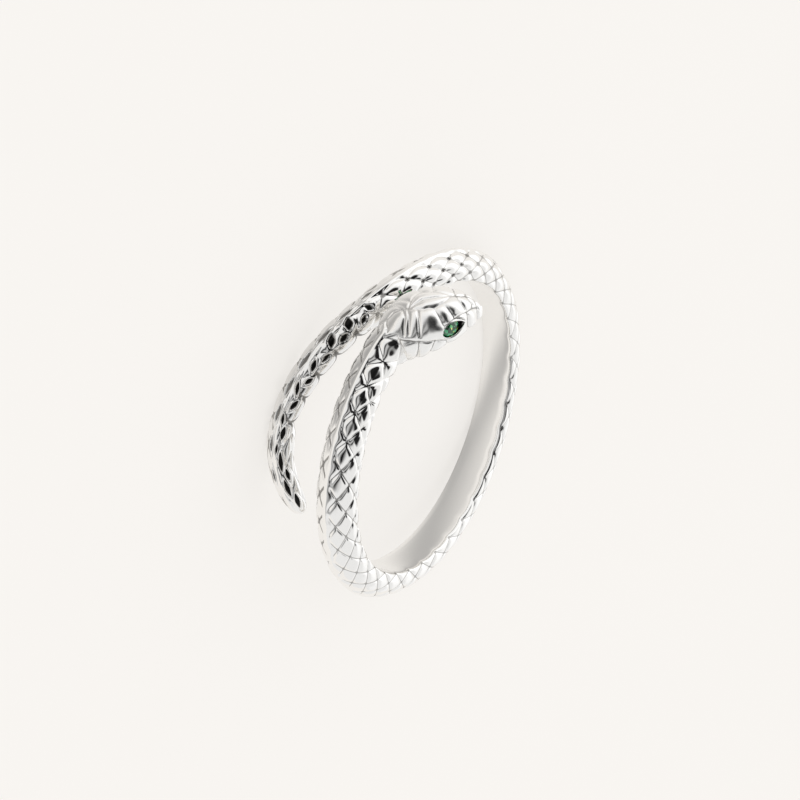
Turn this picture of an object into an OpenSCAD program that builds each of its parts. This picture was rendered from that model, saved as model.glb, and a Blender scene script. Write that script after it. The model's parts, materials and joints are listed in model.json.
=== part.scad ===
// Open snake ring: one cast silver body that goes round the finger, with its tail passing beside its head,
// and a small round stone in each eye. It lies on its side, on the tail's flank and on the far edge of the band.
// Millimetres. The origin is on the surface that the ring lies on, under the middle of its outline.

/* [Band] */
// Inside diameter, where the finger goes
inner_d = 17.3; // [15:0.1:21]
// Full width of the band at its widest, behind the finger
band_w = 2.3; // [1.9:0.1:2.8]
// Height of the ridge over the inner face at the same place
band_h = 1.8; // [1.5:0.1:2.2]
// How pointed the ridge is at its sharpest: 1 is round, more is sharper
roof = 1.25; // [1.1:0.05:1.5]
// Where the flank is widest, as a share of the ridge's height
shoulder = 0.32; // [0.2:0.02:0.4]
// Width of the flank's foot, just over the inner face, as a share of the band's width
foot_w = 0.98; // [0.92:0.01:0.99]

/* [Eyes] */
// Diameter of each stone
stone_d = 1.1; // [0.9:0.05:1.2]
// Clearance round each stone
stone_gap = 0.03; // [0.02:0.01:0.05]
// Height of the stone above its girdle, as a share of its diameter
crown = 0.18; // [0.1:0.01:0.22]
// Depth of the stone below its girdle, as a share of its diameter
pavilion = 0.42; // [0.35:0.01:0.45]
// Width of the stone's flat top, as a share of its diameter
table_w = 0.56; // [0.5:0.01:0.65]
// Length of the almond cut into the head round each stone
lid_l = 1.62; // [1.5:0.02:1.8]
// Width of that almond
lid_w = 1.12; // [1:0.02:1.3]
// Depth of that almond
lid_depth = 0.2; // [0.1:0.02:0.3]

/* [Rest] */
// Angle between the finger hole and the upright as the ring lies
rest_tilt = 11.6; // [10:0.1:13]
// Direction of the line about which it leans
rest_line = 201.3; // [190:0.1:212]

/* [Hidden] */

// The snake from its snout to the tip of its tail. Turn is the angle round the finger in degrees, shift is how far
// the middle lies along the finger in millimetres, and width, height and point are shares of band_w, band_h and roof.
TURN = 0;
SHIFT = 1;
WIDTH = 2;
HEIGHT = 3;
POINT = 4;
SNAKE = [
    [-141, 3.22, 0.19, 0.37, 0.80],
    [-139, 3.00, 0.43, 0.65, 0.74],
    [-135.5, 2.63, 0.83, 1.01, 0.72],
    [-130, 2.02, 1.26, 1.30, 0.72],
    [-124, 1.42, 1.40, 1.42, 0.72],
    [-118, 0.86, 1.34, 1.40, 0.74],
    [-112, 0.32, 1.00, 1.21, 0.82],
    [-104, 0.05, 0.93, 1.06, 0.95],
    [-90, 0, 0.94, 1.06, 1],
    [-60, 0.05, 0.97, 1.03, 1],
    [0, 0.20, 1, 1, 1],
    [60, 0.25, 0.99, 1, 1],
    [120, -0.15, 0.94, 0.97, 1],
    [160, -0.38, 0.92, 0.94, 1],
    [190, -0.55, 0.91, 0.93, 1],
    [220, -1.25, 0.89, 0.89, 1],
    [240, -2.14, 0.84, 0.81, 1],
    [260, -3.22, 0.78, 0.72, 1],
    [275, -3.82, 0.74, 0.64, 1],
    [290, -4.10, 0.71, 0.56, 1],
    [302, -3.92, 0.70, 0.51, 1],
    [312, -3.42, 0.68, 0.47, 0.95],
    [319, -2.92, 0.57, 0.41, 0.90],
    [322, -2.70, 0.37, 0.31, 0.85],
    [323, -2.63, 0.18, 0.21, 0.80],
];
LAST_ROW = len(SNAKE) - 1;

// Turns between the cross-sections: close on the head and the tail's tip, wider round the band
snout_turn = SNAKE[0][TURN];
neck_turn = -104;
tip_turn = 302;
end_turn = SNAKE[LAST_ROW][TURN];
close_step = 1.5;
wide_step = 3.5;
STATIONS = concat(
    [for (turn = [snout_turn : close_step : neck_turn - close_step / 2]) turn],
    [for (turn = [neck_turn : wide_step : tip_turn - wide_step / 2]) turn],
    [for (turn = [tip_turn : close_step : end_turn - close_step / 2]) turn],
    [end_turn]
);

// Steps of half a cross-section from the shoulder over to the ridge
roof_steps = 9;
// How far the unbored body reaches into the finger hole, and its half width there as a share
root_depth = 0.5;
root_w = 0.83;

bore_r = inner_d / 2;
bore_h = 20;
bore_fn = 180;
// The hole's wall winds round more than once, and it is divided at this turn, where the tail starts to turn aside
bore_seam = 182.5;
round_fn = 48;

// Where the eyes are: turn round the finger, and how far over the flank from the ridge, in degrees
eye_turn = -128;
eye_over = 82;
// How the stone's face is turned from straight sideways: up to the ridge, and forward to the snout
eye_up = 6.5;
eye_forward = 9.5;
// The almond's middle lies this far ahead of the stone's
lid_lead = 0.17;
// The stone's girdle lies this far below the flank's surface
stone_sink = 0.12;
girdle_h = 0.04;
girdle_sides = 16;
table_sides = 8;
seat_overlap = 0.01;
clear_h = 1;

function unit(v) = v / norm(v);

// A smooth curve through one column of the table: cubic pieces with the slope of the rows on both sides
function slope(row, column) =
    let (before = max(row - 1, 0), after = min(row + 1, LAST_ROW))
    (SNAKE[after][column] - SNAKE[before][column]) / (SNAKE[after][TURN] - SNAKE[before][TURN]);
function row_at(turn) = max(concat([0], [for (row = [0 : LAST_ROW - 1]) if (SNAKE[row][TURN] <= turn) row]));
function between(row, column, s, span) =
    (2 * pow(s, 3) - 3 * pow(s, 2) + 1) * SNAKE[row][column]
    + (pow(s, 3) - 2 * pow(s, 2) + s) * span * slope(row, column)
    + (3 * pow(s, 2) - 2 * pow(s, 3)) * SNAKE[row + 1][column]
    + (pow(s, 3) - pow(s, 2)) * span * slope(row + 1, column);
function track(turn, column) =
    let (row = row_at(turn), span = SNAKE[row + 1][TURN] - SNAKE[row][TURN])
    between(row, column, (turn - SNAKE[row][TURN]) / span, span);

function half_width(turn) = track(turn, WIDTH) * band_w / 2;
function ridge(turn) = track(turn, HEIGHT) * band_h;

// The frame of a cross-section: its middle on the finger, outward, along the snake and sideways
small_turn = 0.05;
function middle(turn) = [bore_r * cos(turn), bore_r * sin(turn), track(turn, SHIFT)];
function outward(turn) = [cos(turn), sin(turn), 0];
function along(turn) =
    let (
        rise = (track(turn + small_turn, SHIFT) - track(turn - small_turn, SHIFT)) / (2 * small_turn),
        arc = (bore_r + ridge(turn) / 2) * PI / 180
    )
    unit([-sin(turn) * arc, cos(turn) * arc, rise]);
function sideways(turn) = cross(outward(turn), along(turn));

// Half a cross-section as shares of its half width and its ridge height, from just over the inner face to the ridge
function on_roof(turn, angle) =
    [pow(sin(angle), track(turn, POINT) * roof), shoulder + (1 - shoulder) * cos(angle)];
FOOT = [foot_w, shoulder / 2];
function half_section(turn) =
    concat([FOOT], [for (i = [0 : roof_steps]) on_roof(turn, 90 * (1 - i / roof_steps))]);
function section(turn) =
    let (half = half_section(turn))
    concat(half, [for (i = [len(half) - 2 : -1 : 0]) [-half[i][0], half[i][1]]]);

function on_flank(turn, p) =
    middle(turn) + outward(turn) * ridge(turn) * p[1] + sideways(turn) * half_width(turn) * p[0];
function root(turn, side) =
    middle(turn) - outward(turn) * root_depth + sideways(turn) * half_width(turn) * root_w * side;
function over_back(turn) = [for (p = section(turn)) on_flank(turn, p)];
function cross_section(turn) = concat(over_back(turn), [root(turn, -1), root(turn, 1)]);

SKIN = [for (turn = STATIONS) each cross_section(turn)];
RINGS = len(STATIONS);
RIM = len(SKIN) / RINGS;

// How the ring lies: leaned about the rest line, then moved so that its outline is centred and touches z = 0
LEAN_AXIS = [cos(rest_line), sin(rest_line), 0];
function leaned(p) =
    p * cos(rest_tilt)
    + cross(LEAN_AXIS, p) * sin(rest_tilt)
    + LEAN_AXIS * (LEAN_AXIS * p) * (1 - cos(rest_tilt));
LEANED = [for (turn = STATIONS, p = over_back(turn)) leaned(p)];
function lowest(axis) = min([for (p = LEANED) p[axis]]);
function highest(axis) = max([for (p = LEANED) p[axis]]);
REST_MOVE = -[(lowest(0) + highest(0)) / 2, (lowest(1) + highest(1)) / 2, lowest(2)];

module at_rest() {
    translate(REST_MOVE)
        rotate(a = rest_tilt, v = LEAN_AXIS)
            children();
}

// The eye's own frame, X to the snout and Z out of the head, with side 1 for the snake's right eye
module at_eye(side) {
    place = on_flank(eye_turn, let (p = on_roof(eye_turn, eye_over)) [p[0] * side, p[1]]);
    face = unit(
        sideways(eye_turn) * side * cos(eye_up)
        + outward(eye_turn) * sin(eye_up)
        - along(eye_turn) * tan(eye_forward)
    );
    ahead = unit(-along(eye_turn) + face * (along(eye_turn) * face));
    over = cross(face, ahead);
    multmatrix([
        [ahead[0], over[0], face[0], place[0]],
        [ahead[1], over[1], face[1], place[1]],
        [ahead[2], over[2], face[2], place[2]],
        [0, 0, 0, 1],
    ])
        children();
}

// The whole snake before its finger hole and eye seats are cut
module snake() {
    flanks = [
        for (ring = [0 : RINGS - 2], i = [0 : RIM - 1])
            let (next = (i + 1) % RIM)
            [ring * RIM + i, (ring + 1) * RIM + i, (ring + 1) * RIM + next, ring * RIM + next]
    ];
    snout_end = [for (i = [0 : RIM - 1]) i];
    tail_end = [for (i = [RIM - 1 : -1 : 0]) (RINGS - 1) * RIM + i];
    polyhedron(SKIN, concat([snout_end, tail_end], flanks), convexity = 6);
}

// An almond, where two circles overlap, and under it a round seat that tapers as the stone does
module eye_seat() {
    half_l = lid_l / 2;
    half_w = lid_w / 2;
    lid_r = (pow(half_l, 2) + pow(half_w, 2)) / (2 * half_w);
    seat_r = stone_d / 2 + stone_gap;
    seat_depth = stone_d * pavilion + 2 * stone_gap;
    translate([lid_lead, 0, -lid_depth])
        intersection() {
            translate([0, lid_r - half_w, 0])
                cylinder(r = lid_r, h = clear_h, $fn = round_fn);
            translate([0, half_w - lid_r, 0])
                cylinder(r = lid_r, h = clear_h, $fn = round_fn);
        }
    translate([0, 0, -stone_sink - girdle_h])
        cylinder(r = seat_r, h = clear_h, $fn = round_fn);
    translate([0, 0, -stone_sink - girdle_h - seat_depth])
        cylinder(r1 = stone_gap * 2, r2 = seat_r, h = seat_depth + seat_overlap, $fn = round_fn);
}

// A round brilliant stone: an eight-sided table, a sixteen-sided girdle and a point below
module eye_stone() {
    stone_r = stone_d / 2;
    flat = [
        for (i = [0 : table_sides - 1])
            let (a = 360 * i / table_sides)
            [stone_r * table_w * cos(a), stone_r * table_w * sin(a), stone_d * crown]
    ];
    girdle = [
        for (z = [girdle_h / 2, -girdle_h / 2], i = [0 : girdle_sides - 1])
            let (a = 360 * i / girdle_sides)
            [stone_r * cos(a), stone_r * sin(a), z]
    ];
    point = [[0, 0, -stone_d * pavilion]];
    top = table_sides;
    low = top + girdle_sides;
    tip = low + girdle_sides;
    crown_faces = [
        for (i = [0 : table_sides - 1])
            let (next = (i + 1) % table_sides, mid = top + 2 * i + 1, end = top + (2 * i + 2) % girdle_sides)
            each [[i, mid, top + 2 * i], [i, next, mid], [next, end, mid]]
    ];
    girdle_faces = [
        for (i = [0 : girdle_sides - 1])
            let (next = (i + 1) % girdle_sides)
            [top + i, top + next, low + next, low + i]
    ];
    pavilion_faces = [for (i = [0 : girdle_sides - 1]) [low + i, low + (i + 1) % girdle_sides, tip]];
    table_face = [[for (i = [table_sides - 1 : -1 : 0]) i]];
    polyhedron(concat(flat, girdle, point), concat(table_face, crown_faces, girdle_faces, pavilion_faces));
}

module ring_body() {
    color("silver")
        at_rest()
            difference() {
                snake();
                rotate([0, 0, bore_seam])
                    cylinder(r = bore_r, h = bore_h, center = true, $fn = bore_fn);
                at_eye(1)
                    eye_seat();
                at_eye(-1)
                    eye_seat();
            }
}

module eye_stone_left() {
    color("seagreen")
        at_rest()
            at_eye(-1)
                translate([0, 0, -stone_sink])
                    eye_stone();
}

module eye_stone_right() {
    color("seagreen")
        at_rest()
            at_eye(1)
                translate([0, 0, -stone_sink])
                    eye_stone();
}

ring_body();
eye_stone_left();
eye_stone_right();
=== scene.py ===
"""Looks of an open snake ring in polished silver: its scales and head plates as relief, its green eye
stones, and a pale studio. Every shape is worked out in millimetres in the ring's own frame, where the
finger hole's axis is +Z, and is then laid down on its side as the CAD part is."""

import json

import bpy
import numpy as np
from mathutils import Matrix


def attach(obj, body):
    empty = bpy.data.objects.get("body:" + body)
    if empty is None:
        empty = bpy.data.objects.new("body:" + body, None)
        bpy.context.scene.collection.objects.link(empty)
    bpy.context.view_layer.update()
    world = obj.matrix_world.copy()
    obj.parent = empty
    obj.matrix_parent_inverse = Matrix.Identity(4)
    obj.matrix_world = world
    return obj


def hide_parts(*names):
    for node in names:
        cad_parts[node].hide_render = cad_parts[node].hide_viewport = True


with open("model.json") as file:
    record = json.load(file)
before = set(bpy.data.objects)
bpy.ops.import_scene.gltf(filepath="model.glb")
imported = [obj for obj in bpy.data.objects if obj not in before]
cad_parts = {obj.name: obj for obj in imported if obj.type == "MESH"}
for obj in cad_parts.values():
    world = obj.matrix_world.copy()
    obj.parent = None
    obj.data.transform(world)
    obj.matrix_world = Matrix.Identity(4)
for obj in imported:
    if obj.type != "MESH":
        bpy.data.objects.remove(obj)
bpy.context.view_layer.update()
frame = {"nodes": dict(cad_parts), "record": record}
record = frame["record"]

bl_info = {
    "name": "Snake ring",
    "version": (1, 0, 0),
    "blender": (4, 5, 0),
    "location": "3D View > Sidebar > Snake ring",
    "description": "Builds the scales, head plates, eye stones and studio of an open snake ring",
    "category": "Object",
}

# Metres in a millimetre
MM = 0.001

# The snake from its snout to its tail's tip, as in the CAD part: the turn round the finger in degrees, how
# far its middle lies along the finger in millimetres, and its width, height and pointedness as shares
SNAKE = np.array([
    [-141, 3.22, 0.19, 0.37, 0.8],
    [-139, 3, 0.43, 0.65, 0.74],
    [-135.5, 2.63, 0.83, 1.01, 0.72],
    [-130, 2.02, 1.26, 1.3, 0.72],
    [-124, 1.42, 1.4, 1.42, 0.72],
    [-118, 0.86, 1.34, 1.4, 0.74],
    [-112, 0.32, 1, 1.21, 0.82],
    [-104, 0.05, 0.93, 1.06, 0.95],
    [-90, 0, 0.94, 1.06, 1],
    [-60, 0.05, 0.97, 1.03, 1],
    [0, 0.2, 1, 1, 1],
    [60, 0.25, 0.99, 1, 1],
    [120, -0.15, 0.94, 0.97, 1],
    [160, -0.38, 0.92, 0.94, 1],
    [190, -0.55, 0.91, 0.93, 1],
    [220, -1.25, 0.89, 0.89, 1],
    [240, -2.14, 0.84, 0.81, 1],
    [260, -3.22, 0.78, 0.72, 1],
    [275, -3.82, 0.74, 0.64, 1],
    [290, -4.1, 0.71, 0.56, 1],
    [302, -3.92, 0.7, 0.51, 1],
    [312, -3.42, 0.68, 0.47, 0.95],
    [319, -2.92, 0.57, 0.41, 0.9],
    [322, -2.7, 0.37, 0.31, 0.85],
    [323, -2.63, 0.18, 0.21, 0.8],
])
SHIFT, WIDTH, HEIGHT, POINT = 1, 2, 3, 4
SNOUT_TURN = SNAKE[0, 0]
TIP_TURN = SNAKE[-1, 0]

# The finger hole's radius and the band's width and height in millimetres
BORE_R = record["mounts"][0]["dims"]["r_mm"]
BAND_W = 2.3
BAND_H = 1.8
# The band's outline: the power of its roof, the height of its widest place, its width at the foot and at
# the root as shares, and how deep the root lies behind the hole's wall in millimetres
ROOF = 1.25
SHOULDER = 0.32
FOOT_W = 0.98
ROOT_W = 0.83
ROOT_DEPTH = 0.5
# Points of the outline over the roof and down each straight piece
ROOF_STEPS = 96
WALL_STEPS = 9
# Half the turn over which a slope is taken, in degrees
SMALL_TURN = 0.05

# The scales: the turn, the number of the cell along the main row there, and the numbers of the rows that
# the ridge and the foot lie on
SCALES = np.array([
    [-135, -3.9, 0, 2.3],
    [-109, -1.05, 0, 2.33],
    [-103.8, -0.5, 0, 2.35],
    [-99, 0, 0, 2.8],
    [-94.5, 0.5, 0, 3.2],
    [-90, 1, 0, 3.6],
    [-71.7, 3, 0, 3.5],
    [-61.5, 4, 0, 3.6],
    [-51.3, 5, 0, 3.85],
    [-41, 6, 0, 4],
    [-10.5, 9, 0, 4],
    [104, 20.5, 0, 4],
    [205, 30.6, 0, 4],
    [218.9, 32, 0.05, 3.75],
    [228.9, 33, 0.2, 3.5],
    [238.9, 34, 0.45, 3.25],
    [248, 35, 0.58, 3.1],
    [261, 36.4, 0.62, 3.15],
    [276, 38, 0.62, 3.3],
    [286, 39, 0.5, 4.1],
    [294, 39.8, 0.4, 4.9],
    [302, 40.55, 0.5, 5.1],
    [312, 41.5, 0.9, 4.8],
    [323, 42.6, 1.1, 4.7],
])
CELL, ROW_AT_RIDGE, ROW_AT_FOOT = 1, 2, 3


def smooth_track(table, column, turn):
    """A column of a table as a smooth curve over the turn, in cubic pieces. The slope at each row is that of
    the line between the rows beside it."""
    x, y = table[:, 0], table[:, column]
    beside = np.pad(table, ((1, 1), (0, 0)), "edge")
    rise = beside[2:] - beside[:-2]
    slope = rise[:, column] / rise[:, 0]
    i = np.clip(np.searchsorted(x, turn, side="right") - 1, 0, len(x) - 2)
    h = x[i + 1] - x[i]
    s = (turn - x[i]) / h
    bent = (s**3 - 2 * s**2 + s) * h * slope[i] + (s**3 - s**2) * h * slope[i + 1]
    return (2 * s**3 - 3 * s**2 + 1) * y[i] + (3 * s**2 - 2 * s**3) * y[i + 1] + bent


def straight_track(table, column, turn):
    """A column of a table in straight pieces over its first one."""
    return np.interp(turn, table[:, 0], table[:, column])


def unit(v):
    return v / np.linalg.norm(v, axis=-1, keepdims=True)


def smooth_step(x):
    """0 below 0, 1 above 1, and a smooth S between."""
    x = np.clip(x, 0, 1)
    return x * x * (3 - 2 * x)


def between(turn, turns, fade):
    """1 between two turns and 0 outside them, fading over so much at both, as one column."""
    first, last = turns
    return (smooth_step((turn - first) / fade) * smooth_step((last - turn) / fade))[:, None]


def section_frame(turn):
    """Middle of the cross-section on the finger, and its ways outward, along the snake and sideways."""
    a = np.radians(turn)
    out = np.stack([np.cos(a), np.sin(a), 0 * a], -1)
    middle = out * BORE_R
    middle[..., 2] += smooth_track(SNAKE, SHIFT, turn)
    rise = smooth_track(SNAKE, SHIFT, turn + SMALL_TURN) - smooth_track(SNAKE, SHIFT, turn - SMALL_TURN)
    arc = (BORE_R + smooth_track(SNAKE, HEIGHT, turn) * BAND_H / 2) * np.pi / 180
    along = unit(np.stack([-np.sin(a) * arc, np.cos(a) * arc, rise / (2 * SMALL_TURN)], -1))
    return middle, out, along, np.cross(out, along)


def section_sizes(turn):
    """Half the width of the cross-section, the height of its ridge and the power of its roof."""
    sizes = ((WIDTH, BAND_W / 2), (HEIGHT, BAND_H), (POINT, ROOF))
    return (smooth_track(SNAKE, column, turn) * size for column, size in sizes)


def outline(turn):
    """Half of each cross-section from the ridge to the finger hole's edge, as distances sideways and
    outward, and the length along it. The roof is (sin(a) ** point, shoulder + (1 - shoulder) * cos(a)), and
    straight pieces run from the shoulder to the foot and to the hole."""
    half_w, ridge, point = (sizes[:, None] for sizes in section_sizes(turn))
    a = np.linspace(0, np.pi / 2, ROOF_STEPS)
    down = np.linspace(0, 1, WALL_STEPS)[1:]
    foot_side, foot_out = half_w * FOOT_W, ridge * SHOULDER / 2
    middle, out, _, sideways = section_frame(turn)
    # Where the line from the foot to the root behind the hole's wall meets that wall
    start = middle[:, :2] + out[:, :2] * foot_out + sideways[:, :2] * foot_side
    way = -out[:, :2] * (ROOT_DEPTH + foot_out) + sideways[:, :2] * half_w * (ROOT_W - FOOT_W)
    qa = (way**2).sum(1)
    qb = (start * way).sum(1)
    qc = (start**2).sum(1) - BORE_R**2
    share = ((-qb - np.sqrt(qb**2 - qa * qc)) / qa)[:, None]
    side = np.hstack([
        np.sin(a) ** point * half_w,
        half_w * (1 + (FOOT_W - 1) * down),
        foot_side + half_w * (ROOT_W - FOOT_W) * share * down,
    ])
    outward = np.hstack([
        ridge * (SHOULDER + (1 - SHOULDER) * np.cos(a)),
        ridge * SHOULDER * (1 - down / 2),
        foot_out - (ROOT_DEPTH + foot_out) * share * down,
    ])
    steps_mm = np.hypot(np.diff(side, axis=1), np.diff(outward, axis=1))
    length = np.hstack([np.zeros((len(turn), 1)), np.cumsum(steps_mm, 1)])
    return side, outward, length


def look_up(length, values, share):
    """Each row of values read at shares of that row's own length."""
    rows = np.arange(len(length))[:, None] * 2.0
    at = (length / length[:, -1:] + rows).ravel()
    return np.interp((share + rows).ravel(), at, values.ravel()).reshape(share.shape)


def flank_points(turn, share):
    """Points of the smooth back, for shares of the flank from -1 at the far foot to 1 at the near one, and
    each flank's length. turn has one value for each row of share."""
    side, outward, length = outline(turn)
    part = np.abs(share)
    s = look_up(length, side, part) * np.sign(share)
    o = look_up(length, outward, part)
    middle, out, _, sideways = section_frame(turn)
    return middle[:, None] + out[:, None] * o[..., None] + sideways[:, None] * s[..., None], length[:, -1]


def inner_face(near, far, columns):
    """Points of the inner face between its edges, straight in the angle round the finger and along it."""
    t = np.linspace(0, 1, columns + 2)[1:-1]
    a0, a1 = (np.arctan2(edge[:, 1], edge[:, 0])[:, None] for edge in (near, far))
    a = a0 + ((a1 - a0 + np.pi) % (2 * np.pi) - np.pi) * t
    z = near[:, 2:3] + (far[:, 2:3] - near[:, 2:3]) * t
    return np.stack([BORE_R * np.cos(a), BORE_R * np.sin(a), z], -1)


# How the ring lies: leaned so that +Z goes to the hole's axis in the record, about the level line across it
HOLE_AXIS = np.array(record["mounts"][0]["axis"])
HOLE_AXIS /= np.linalg.norm(HOLE_AXIS)
LEAN_LINE = np.array([-HOLE_AXIS[1], HOLE_AXIS[0], 0]) / np.hypot(HOLE_AXIS[0], HOLE_AXIS[1])
LEAN = np.arccos(HOLE_AXIS[2])
# The record's point on the axis is this far along it from the ring's own origin, in millimetres
HOLE_MIDDLE = -0.1


def leaned(p):
    """Turned about the lean line k: p * cos + (k x p) * sin + k * (k . p) * (1 - cos)."""
    k = LEAN_LINE
    return p * np.cos(LEAN) + np.cross(k, p) * np.sin(LEAN) + (p @ k)[..., None] * k * (1 - np.cos(LEAN))


REST_MOVE = np.array(record["mounts"][0]["pos_m"]) / MM - leaned(np.array([0, 0, HOLE_MIDDLE]))


def at_rest(p):
    return leaned(p) + REST_MOVE


# The head's middle line: the turn and the share of the flank that it lies on, negative on the far one
MIDDLE_LINE = np.array([
    [-141, 0],
    [-139, 0.04],
    [-134.6, 0.13],
    [-130, 0.09],
    [-127, 0.05],
    [-124, -0.01],
    [-120, 0.01],
    [-118, -0.07],
    [-116, -0.14],
    [-113, -0.14],
    [-108, -0.03],
    [-104, 0],
])
# The head's grooves as lines of turns and shares of the near flank, which the far flank mirrors about the
# middle line
GROOVES = {
    "middle": [(-113.5, 0), (-139, 0)],
    "crown": [(-119.5, 0), (-120.6, 0.07), (-122.8, 0.16), (-125.3, 0.225), (-128.4, 0.205),
              (-131.3, 0.125), (-133.2, 0)],
    "nape": [(-111, 0.1), (-112.3, 0.03), (-113.5, 0)],
    "first_cross": [(-118.4, 0), (-117.6, 0.1), (-115.2, 0.33)],
    "second_cross": [(-119.5, 0), (-118.6, 0.12), (-116.3, 0.37)],
    "third_cross": [(-121.3, 0.11), (-118.3, 0.5)],
    "fourth_cross": [(-125.3, 0.225), (-125.5, 0.5), (-126.2, 0.6)],
    "fifth_cross": [(-128.2, 0.21), (-129.4, 0.52)],
    "sixth_cross": [(-132.7, 0.03), (-133.8, 0.44)],
    "nose": [(-135.9, 0), (-136.6, 0.2), (-137.4, 0.32), (-136.8, 0.44)],
    "lip": [(-129.4, 0.52), (-133.8, 0.5), (-136.7, 0.46), (-139.5, 0.4)],
    "front": [(-134.1, 0.51), (-135.1, 0.97)],
    "snout": [(-139, 0), (-139.2, 0.2), (-139.4, 0.95)],
    "mouth": [(-108.9, 0.1), (-113.2, 0.356), (-117.6, 0.56), (-122, 0.73), (-126, 0.89)],
    "jaw_first": [(-113.4, 0.36), (-109, 0.84)],
    "jaw_second": [(-117.7, 0.56), (-116, 1)],
    "jaw_third": [(-122.1, 0.73), (-120.1, 1)],
    "jaw_fourth": [(-126, 0.89), (-126.4, 1)],
}
# Where the scales give way to the plates, as shares from the middle line and turns, and over how many
# degrees
NAPE = np.array([
    [0, -113.5],
    [0.1, -111],
    [0.36, -113.4],
    [0.86, -109],
    [1, -108.8],
])
NAPE_FADE = 1.4
# Share of the scales' relief that lies below the CAD part's smooth back
SCALE_TOP = 0.85
# The tail's second row is round bumps between these turns, fading in over so many degrees. They reach so
# many cells and rows from their middle, with this power of their dome.
BUMP_TURNS = (240, 292)
BUMP_FADE = 8
BUMP_CELLS = 0.48
BUMP_ROWS = 1.08
BUMP_POWER = 3
# Between the bumps the edge is cut back by so many times the scales' depth, over this share of their reach
HOLLOW = 5
HOLLOW_REACH = 0.6
# The painted shade line round a bump: half its width and its soft edge as shares of the bump's reach, its
# darkness, and the row where it begins and over how much
OUTLINE_HALF_W = 0.22
OUTLINE_EDGE = 0.15
OUTLINE_DARKNESS = 1.4
OUTLINE_ROW = 1.1
OUTLINE_FADE = 0.4
# The scales round the ring: the turn, and as shares how deep they are, how satin their grooves are and how
# dark their painted shade is, how flat each scale is, and how dark the painted shade spots are where grooves
# cross
SURFACE = np.array([
    [-100, 1, 0.7, 1, 0],
    [-78, 1, 0.75, 1.1, 0],
    [-62, 0.8, 1.02, 1.35, 0],
    [0, 0.72, 1, 1.35, 0],
    [25, 0.65, 1, 1, 0],
    [60, 0.45, 0.94, 1, 0],
    [150, 0.45, 0.94, 0.8, 0],
    [175, 0.8, 0.98, 0.65, 0.2],
    [200, 1, 0.93, 0.6, 1],
    [228, 0.82, 0.88, 0.65, 1],
    [245, 0.7, 0.9, 0.7, 0],
    [262, 0.55, 0.88, 0.8, 0],
    [285, 0.5, 0.88, 0.8, 0],
    [298, 0.35, 0.85, 0.8, 0],
])
DEPTH, LINE, FLATNESS, SPOTS = 1, 2, 3, 4
# Where a painted shade spot begins on the way from a scale's middle to a crossing, over how much, and how
# dark it is
SPOT_START = 0.69
SPOT_FADE = 0.16
SPOT_DARKNESS = 1.9
# The scales end at this share of the far flank, over so much of it, before a plain border
BORDER_SHARE = 0.9
BORDER_FADE = 0.05
# The tail's pits: the turn, the share of the flank, half the length and half the width in millimetres, and
# the slant in degrees. The wide ones of the far flank have negative shares.
PITS = np.array([
    [240, 0.24, 0.36, 0.2, -60],
    [243.5, 0.41, 0.34, 0.19, 35],
    [248, 0.21, 0.46, 0.3, 60],
    [252, 0.41, 0.38, 0.24, 5],
    [255.5, 0.2, 0.5, 0.26, 45],
    [260.5, 0.42, 0.4, 0.17, -5],
    [265, 0.25, 0.4, 0.15, 20],
    [270, 0.41, 0.34, 0.16, -25],
    [274, 0.19, 0.45, 0.11, 20],
    [279.5, 0.35, 0.42, 0.16, -20],
    [285.5, 0.14, 0.4, 0.1, 10],
    [290.5, 0.29, 0.5, 0.16, -4],
    [296.5, 0.11, 0.38, 0.09, -6],
    [301.5, 0.27, 0.75, 0.15, 0],
    [306.5, 0.48, 0.45, 0.13, 5],
    [311.5, 0.3, 0.65, 0.16, 4],
    [317, 0.51, 0.55, 0.16, -6],
    [237, -0.12, 0.7, 0.18, 0],
    [246, -0.12, 0.75, 0.2, 0],
    [255.5, -0.12, 0.75, 0.2, 0],
    [265, -0.12, 0.72, 0.2, 0],
    [274.5, -0.11, 0.7, 0.17, 0],
    [284, -0.11, 0.65, 0.15, 0],
    [295, -0.12, 0.62, 0.12, 0],
    [306, -0.13, 0.6, 0.1, 0],
])
# The power of a pit's outline, the depth of a pit and the height of the lip round it in millimetres
PIT_POWER = 1.3
PIT_DEPTH = 0.1
LIP_HEIGHT = 0.03
# Where a pit and its lip end, as shares of the pit's half size, and over how much they fade out
PIT_END = 1.04
PIT_FADE = 0.4
LIP_END = 1.8
LIP_FADE = 0.5
# How deep and how dark with painted shade the far flank's pits are, and how dark the painted shade of its
# grooves is, next to the near one's
FAR_FAINTNESS = 0.68
FAR_LINES = 1.5
# Length of a degree of turn along the head, the tail and the ridge, about, in millimetres
HEAD_MM_PER_DEGREE = 0.2
TAIL_MM_PER_DEGREE = 0.162
RIDGE_MM_PER_DEGREE = 0.19
# Width of the flat bottom of the grooves between the head's plates, in millimetres
CHANNEL = 0.05
# How far the edge and the dome of a plate reach from its groove, in millimetres, the power of each, and the
# share of each that lies below the CAD part's smooth back
EDGE_REACH, EDGE_POWER, EDGE_TOP = 0.15, 2.5, 0.9
DOME_REACH, DOME_POWER, DOME_TOP = 0.55, 2, 0.5
# The cheeks swell round this share of the flank, with this width, between these turns
CHEEK_SHARE = 0.52
CHEEK_W = 0.22
CHEEK_TURNS = (-138, -110)
CHEEK_FADE = 5
# How satin the head's grooves are and how dark their painted shade is, and how much more beyond this
# share of the flank, on the jaw, and before this turn, on the snout
HEAD_LINE = 0.86
JAW_SNOUT_SHADE = 0.16
JAW_SHADE_SHARE, JAW_SHADE_SHARE_FADE = 0.4, 0.1
SNOUT_SHADE_TURN, SNOUT_SHADE_TURN_FADE = -132, 2


def to_middle_line(turn, share):
    """Share measured from the head's middle line in place of the ridge, still -1 and 1 at the feet."""
    m = straight_track(MIDDLE_LINE, 1, turn)[:, None]
    return (share - m) / (1 - m * np.sign(share - m))


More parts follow.
